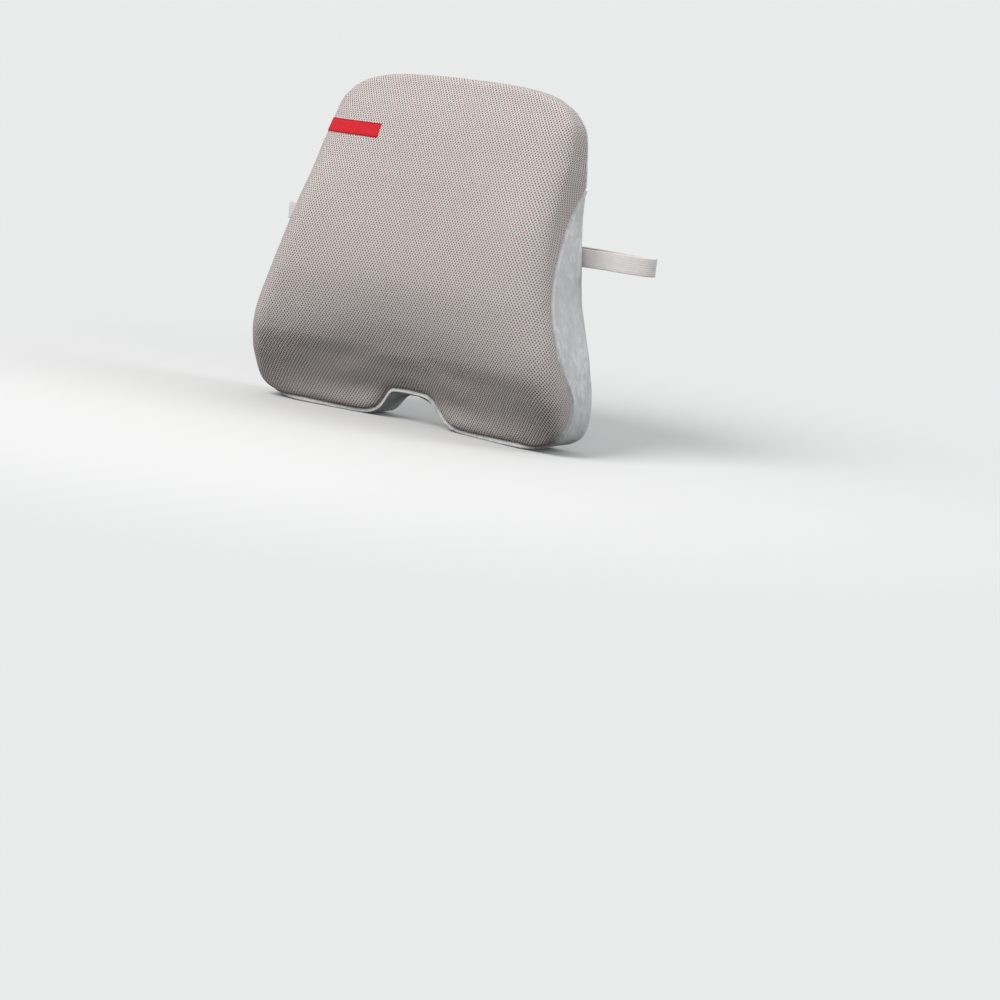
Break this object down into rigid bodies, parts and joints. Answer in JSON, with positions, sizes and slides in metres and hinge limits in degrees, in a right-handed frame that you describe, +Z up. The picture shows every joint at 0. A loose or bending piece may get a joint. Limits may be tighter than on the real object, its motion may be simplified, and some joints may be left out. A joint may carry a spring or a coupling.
{
  "type": "lumbar support cushion",
  "caption": "Contoured lumbar support cushion with a tailbone notch, a zipped mesh cover and an elastic buckled strap that holds it to a chair back.",
  "frame": {"origin": "on the surface that the cushion stands on, under the middle of the box of the whole part, strap and buckle included", "axes": "+Z up the cushion, +X to the right of a person who looks at its front, and the front faces -Y"},
  "size_m": [0.5079, 0.1442, 0.388],
  "materials": {
    "spacer_mesh": "matte warm grey three-layer air mesh with small round holes",
    "plush_velour": "short-nap light grey velour, soft and matte",
    "liner_tricot": "thin smooth off-white knit",
    "memory_foam": "matte cream memory foam",
    "red_ribbon": "plain red woven ribbon with a slight sheen, blank",
    "elastic_webbing": "matte warm grey knitted elastic",
    "buckle_plastic": "matte moulded warm grey nylon",
    "zip_tape": "flat woven grey tape",
    "zip_coil": "moulded grey nylon coil",
    "zip_metal": "nickel-plated zinc with a soft polish"
  },
  "bodies": {
    "cushion": {"foam_core": "memory_foam", "liner_front": "liner_tricot", "liner_back": "liner_tricot", "front_panel": "spacer_mesh", "gusset": "plush_velour", "back_panel_upper": "plush_velour", "back_panel_lower": "plush_velour", "label": "red_ribbon", "zip_tape_upper": "zip_tape", "zip_tape_lower": "zip_tape", "zip_coil_upper": "zip_coil", "zip_coil_lower": "zip_coil", "zip_stop_closed_end": "zip_metal", "zip_stop_open_end": "zip_metal", "strap_left": "elastic_webbing", "strap_right": "elastic_webbing", "buckle_housing": "buckle_plastic"},
    "zip_slider": {"zip_slider": "zip_metal"},
    "zip_pull": {"zip_pull": "zip_metal"},
    "buckle_plug": {"buckle_plug": "buckle_plastic", "strap_tail": "elastic_webbing"},
    "prong_upper": {"buckle_prong_upper": "buckle_plastic"},
    "prong_lower": {"buckle_prong_lower": "buckle_plastic"},
    "strap_keeper": {"strap_keeper": "elastic_webbing"}
  },
  "joints": [
    {"name": "zip_run", "type": "slide", "parent": "cushion", "child": "zip_slider", "axis": [-1, 0, 0], "range_m": [0, 0.246]},
    {"name": "zip_pull_turn", "type": "hinge", "parent": "zip_slider", "child": "zip_pull", "pos_m": [0.123, 0.04317, 0.078], "axis": [0, 0, -1], "range_deg": [0, 176]},
    {"name": "buckle_release", "type": "slide", "parent": "cushion", "child": "buckle_plug", "axis": [1, 0, 0], "range_m": [0, 0.03]},
    {"name": "prong_upper_squeeze", "type": "hinge", "parent": "buckle_plug", "child": "prong_upper", "pos_m": [0.0042, 0.06747, 0.2201], "axis": [0, -1, 0], "range_deg": [0, 7], "stiffness_Nm_per_rad": 0.08},
    {"name": "prong_lower_squeeze", "type": "hinge", "parent": "buckle_plug", "child": "prong_lower", "pos_m": [0.0042, 0.06747, 0.2019], "axis": [0, 1, 0], "range_deg": [0, 7], "stiffness_Nm_per_rad": 0.08},
    {"name": "keeper_slide", "type": "slide", "parent": "cushion", "child": "strap_keeper", "axis": [1, 0, 0], "range_m": [-0.01, 0.03]}
  ],
  "couplings": [
    {"joint": "prong_lower_squeeze", "follows": "prong_upper_squeeze", "ratio": 1}
  ]
}
